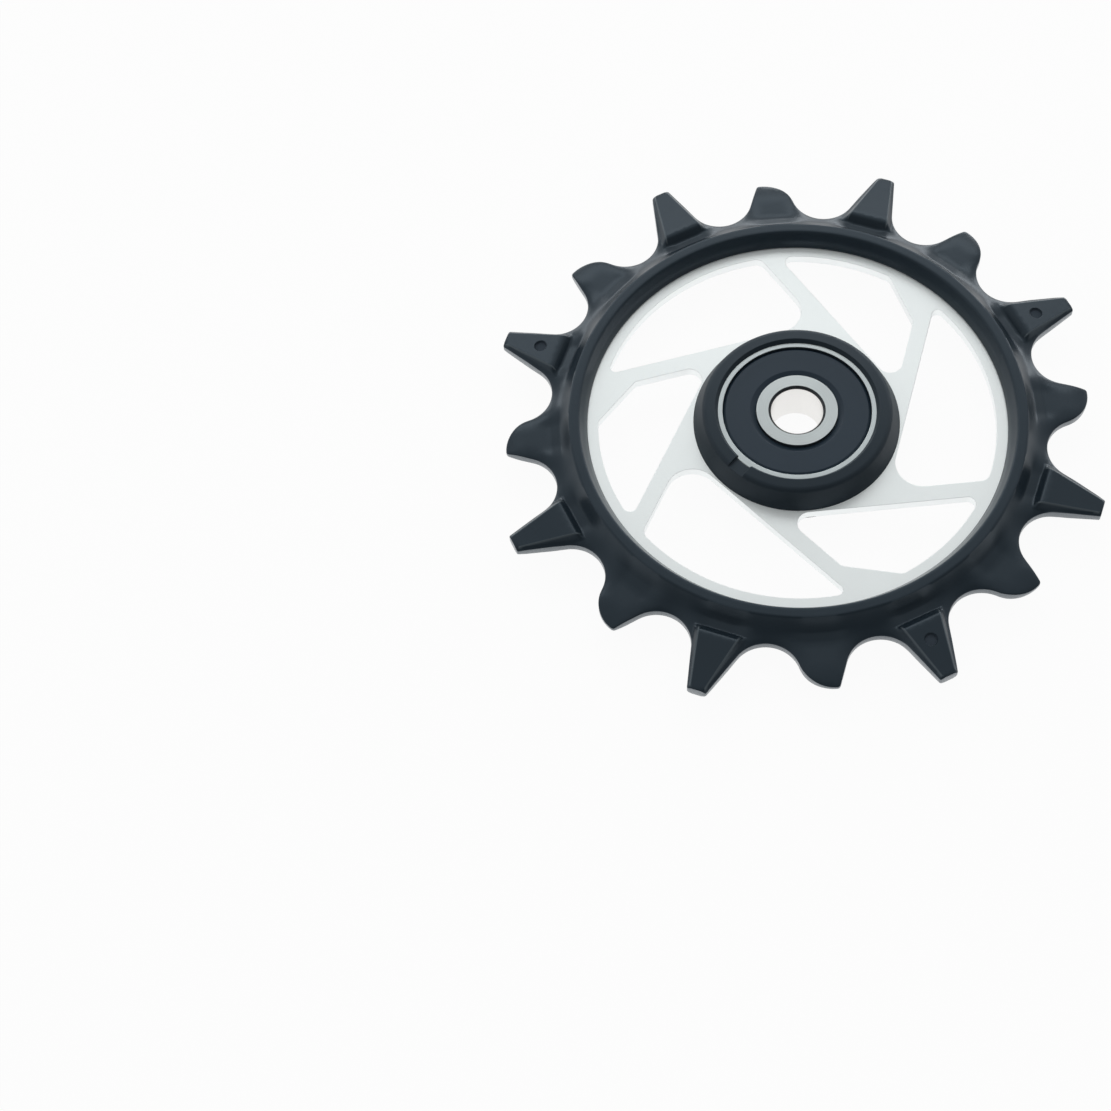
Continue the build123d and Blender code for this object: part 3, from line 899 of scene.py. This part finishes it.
# The wide tooth leans, so the mark lies half as far aside as the middle of the tip
tip_middle = (wide_tip_low + wide_tip_high) / 2
mark_middle = turned((mark_out, tip_middle / 2), wide_angle)
for offset in mark_rows:
    angles = [k * 360 / mark_points for k in range(mark_points)]
    lay([mark_middle + polar(mark_radius + offset, angle) for angle in angles], closed=True)
print("points on lines:", len(flat_points), "edges kept:", len(flat_edges))

# %% [markdown]
# ## Toothed ring: a lattice between the lines
# The room between the lines is filled with a loose lattice of even triangles. Points too near
# to a line or to the outline are left out, because thin triangles shade badly.

# %% Fill the rest with a lattice
lattice_step = 0.42
lattice_row_step = lattice_step * math.sqrt(0.75)
lattice_room = 0.3
lattice_end_angle = 1.0

lines_tree = KDTree(len(flat_points))
for number, point in enumerate(flat_points):
    lines_tree.insert((*point, 0), number)
lines_tree.balance()
for row, y in enumerate(np.arange(0, wide_tip_radius, lattice_row_step)):
    for x in np.arange(lip_radius / 2 + (row % 2) * lattice_step / 2, wide_tip_radius, lattice_step):
        angle = math.degrees(math.atan2(y, x))
        at_end = not lattice_end_angle < angle < pair_angle - lattice_end_angle
        if at_end or math.hypot(x, y) < lip_radius:
            continue
        if room((x, y)) > lattice_room and lines_tree.find((x, y, 0))[2] > lattice_room:
            flat_points.append(Vector((x, y)))
print("points on the face of one pair:", len(flat_points))

# %% [markdown]
# ## Toothed ring: the face of a pair
# A constrained Delaunay triangulation joins all the points and keeps the lines. It also fills
# the hollows between the teeth and inside the rim, so triangles whose middle lies out there
# are dropped. Then the height function lifts the points, and the rows along the outline drop
# in a quarter circle to round its edge.

# %% Triangulate and lift the face
merge_below = 1e-4
thin_area = 1e-5

spots, _, corners, origins, _, _ = delaunay_2d_cdt(flat_points, flat_edges, [], 0, merge_below)
spots = np.array([list(spot) for spot in spots])
place_of = {origin: number for number, group in enumerate(origins) for origin in group}
heights, pad_edges = face_height(spots[:, 0], spots[:, 1])
for inset, row in zip(edge_rows, outline_rows):
    drop = edge_round - math.sqrt(edge_round**2 - (edge_round - inset) ** 2)
    heights[[place_of[k] for k in row]] -= drop

# The rim is a polygon, whose sides come a little nearer to the axle than its corners
rim_chord = lip_radius * math.cos(math.radians(pair_angle / (rim_columns - 1) / 2))
faces = []
for corner in corners:
    first, second, third = spots[corner]
    middle = (first + second + third) / 3
    side, far_side = second - first, third - first
    area = side[0] * far_side[1] - side[1] * far_side[0]
    if area > thin_area and room(middle) > 0 and math.hypot(*middle) > rim_chord:
        faces.append(list(corner))
print("front face of one pair:", len(faces), "triangles")

# %% [markdown]
# ## Toothed ring: a closed pair
# The rear face is the front one mirrored. A wall joins the two along the outline, and a groove
# for the plate's rim joins them on the inside. Only the two ends of the pair stay open, where
# its neighbours follow. Three values are stored on the points for later: where the outline's
# wall is, where a timing mark may be pressed in, and where the pad's edges are.

# %% Close the pair
groove_depth = 1.55
groove_radius = lip_radius + groove_depth
groove_top = 0.65
mark_wall_from = 0.03
mark_wall_width = 0.15

count = len(spots)
top = np.column_stack([spots, heights])
bottom = top * (1, 1, -1)
faces += [[count + k for k in reversed(face)] for face in faces]
wall = [place_of[k] for k in outline_rows[0]]
faces += [[a, count + a, count + b, b] for a, b in zip(wall, wall[1:])]

groove = []
for radius, height in ((lip_radius, groove_top), (groove_radius, groove_top),
                       (groove_radius, -groove_top), (lip_radius, -groove_top)):
    groove.append([(*polar(radius, angle), height) for angle in rim_angles])
lip = [place_of[k] for k in rim_rows[0]]
bands = [lip]
bands += [range(2 * count + k * rim_columns, 2 * count + (k + 1) * rim_columns) for k in range(len(groove))]
bands += [[count + k for k in lip]]
for upper, lower in zip(bands, bands[1:]):
    faces += [[upper[k], lower[k], lower[k + 1], upper[k + 1]] for k in range(rim_columns - 1)]

points = np.vstack([top, bottom, *groove])
pair_mesh = bpy.data.meshes.new("tooth_pair")
pair_mesh.from_pydata((points * MM).tolist(), [], faces)
# The outline's wall is where the finish lays a painted reflection.
outline_wall = np.zeros(len(points))
outline_wall[wall] = 1
outline_wall[[count + k for k in wall]] = 1
from_mark = np.hypot(*(points[:count, :2] - mark_middle).T)
timing_mark = np.zeros(len(points))
timing_mark[:count] = np.clip((mark_radius + mark_wall_from - from_mark) / mark_wall_width, 0, 1)
# Along the pad's edges the finish lays a painted highlight.
pad_edge_share = np.concatenate([pad_edges, pad_edges, np.zeros(len(points) - 2 * count)])
stored_values = {"outline_wall": outline_wall, "timing_mark": timing_mark, "pad_edge": pad_edge_share}
for name, values in stored_values.items():
    pair_mesh.attributes.new(name, "FLOAT", "POINT").data.foreach_set("value", values)
print("one pair has", len(points), "points and", len(faces), "faces")

# %% [markdown]
# ## Toothed ring: a tree that repeats the pair
# Geometry Nodes turn the pair round the axle. The pairs become instances on eight points,
# each turned one step further, and every third one gets a pressed timing mark, which may help
# to line up the chain. Then the instances are made real, welded along their seams and given
# their finish. A loop over copies would do as well, but a tree keeps the number of pairs and
# the depth of the marks in one place, as named inputs.

# %% Build the tree
repeat = bpy.data.node_groups.new("repeat_round_axle", "GeometryNodeTree")
for name, kind in (("Geometry", "NodeSocketGeometry"), ("Repeats", "NodeSocketInt"),
                   ("Marked Every", "NodeSocketInt"), ("Mark Depth", "NodeSocketFloat"),
                   ("Weld Distance", "NodeSocketFloat"), ("Finish", "NodeSocketMaterial")):
    repeat.interface.new_socket(name, in_out="INPUT", socket_type=kind)
repeat.interface.new_socket("Geometry", in_out="OUTPUT", socket_type="NodeSocketGeometry")
given = repeat.nodes.new("NodeGroupInput").outputs


def store(geometry, name, value, domain):
    """Keep a value on the geometry under a name."""
    return add_node(repeat, "GeometryNodeStoreNamedAttribute", {
        "Geometry": geometry, "Name": name, "Value": value,
    }, data_type="FLOAT", domain=domain).outputs[0]


def stored(name):
    """A value that the geometry keeps under a name."""
    return add_node(repeat, "GeometryNodeInputNamedAttribute", {"Name": name}, data_type="FLOAT").outputs[0]


index = add_node(repeat, "GeometryNodeInputIndex").outputs[0]
step = maths(repeat, "DIVIDE", 2 * math.pi, given["Repeats"])
spin = add_node(repeat, "ShaderNodeCombineXYZ", {"Z": maths(repeat, "MULTIPLY", index, step)}).outputs[0]
rotation = add_node(repeat, "FunctionNodeEulerToRotation", {0: spin}).outputs[0]
stations = add_node(repeat, "GeometryNodePoints", {"Count": given["Repeats"]}).outputs[0]
copies = add_node(repeat, "GeometryNodeInstanceOnPoints", {
    "Points": stations, "Instance": given["Geometry"], "Rotation": rotation,
}).outputs[0]

# The count starts again at nothing on every marked pair, so only there it is below a half
since_mark = maths(repeat, "MODULO", index, given["Marked Every"])
marked = maths(repeat, "LESS_THAN", since_mark, 0.5)
copies = store(copies, "marked", marked, "INSTANCE")
solid = add_node(repeat, "GeometryNodeRealizeInstances", {0: copies}).outputs[0]
# Inside the marks the finish lays painted light over a duller roughness.
pressed = maths(repeat, "MULTIPLY", stored("marked"), stored("timing_mark"))
solid = store(solid, "mark_inside", pressed, "POINT")
sink = maths(repeat, "MULTIPLY", stored("mark_inside"), given["Mark Depth"])
down = add_node(repeat, "ShaderNodeCombineXYZ", {"Z": maths(repeat, "MULTIPLY", sink, -1.0)}).outputs[0]
solid = add_node(repeat, "GeometryNodeSetPosition", {"Geometry": solid, "Offset": down}).outputs[0]
solid = add_node(repeat, "GeometryNodeMergeByDistance", {
    "Geometry": solid, "Distance": given["Weld Distance"],
}).outputs[0]
solid = add_node(repeat, "GeometryNodeSetMaterial", {
    "Geometry": solid, "Material": given["Finish"],
}).outputs[0]
add_node(repeat, "NodeGroupOutput", {0: solid})
print("tree:", repeat.name, "with", len(repeat.nodes), "nodes")

# %% [markdown]
# ## Toothed ring: eight pairs make the ring
# The tree runs once, and its result becomes a plain mesh, so that nothing has to be worked out
# again when the wheel turns. Faces are made to point outwards and are shaded smooth, apart from
# sharp turns. The count of open edges shows that the seams are closed. The new ring takes the
# place of the plain solid and rides on the same body.

# %% Make the ring
marked_every = 3
mark_depth = 0.28
weld_distance = 0.004
sharp_angle = 40

tooth_pair = bpy.data.objects.new("tooth_pair", pair_mesh)
scene.collection.objects.link(tooth_pair)
modifier = tooth_pair.modifiers.new("repeat", "NODES")
modifier.node_group = repeat
values = {
    "Repeats": pair_count, "Marked Every": marked_every, "Mark Depth": mark_depth * MM,
    "Weld Distance": weld_distance * MM, "Finish": black_nylon,
}
for item in repeat.interface.items_tree:
    if item.in_out == "INPUT" and item.name in values:
        modifier[item.identifier] = values[item.name]
evaluated = tooth_pair.evaluated_get(bpy.context.evaluated_depsgraph_get())
ring_mesh = bpy.data.meshes.new_from_object(evaluated)
ring_mesh.name = "moulded_ring"
bpy.data.objects.remove(tooth_pair)

shell = bmesh.new()
shell.from_mesh(ring_mesh)
bmesh.ops.recalc_face_normals(shell, faces=shell.faces)
open_edges = sum(not edge.is_manifold for edge in shell.edges)
volume = shell.calc_volume() / MM**3
shell.to_mesh(ring_mesh)
shell.free()
ring_mesh.shade_smooth()
ring_mesh.set_sharp_from_angle(angle=math.radians(sharp_angle))
moulded_ring = bpy.data.objects.new("moulded_ring", ring_mesh)
scene.collection.objects.link(moulded_ring)
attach(moulded_ring, "ring")
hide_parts("toothed_ring")
ring_mesh.calc_loop_triangles()
print("ring:", len(ring_mesh.loop_triangles), "triangles, open edges:", open_edges)
print("volume of the ring:", round(volume), "cubic mm")
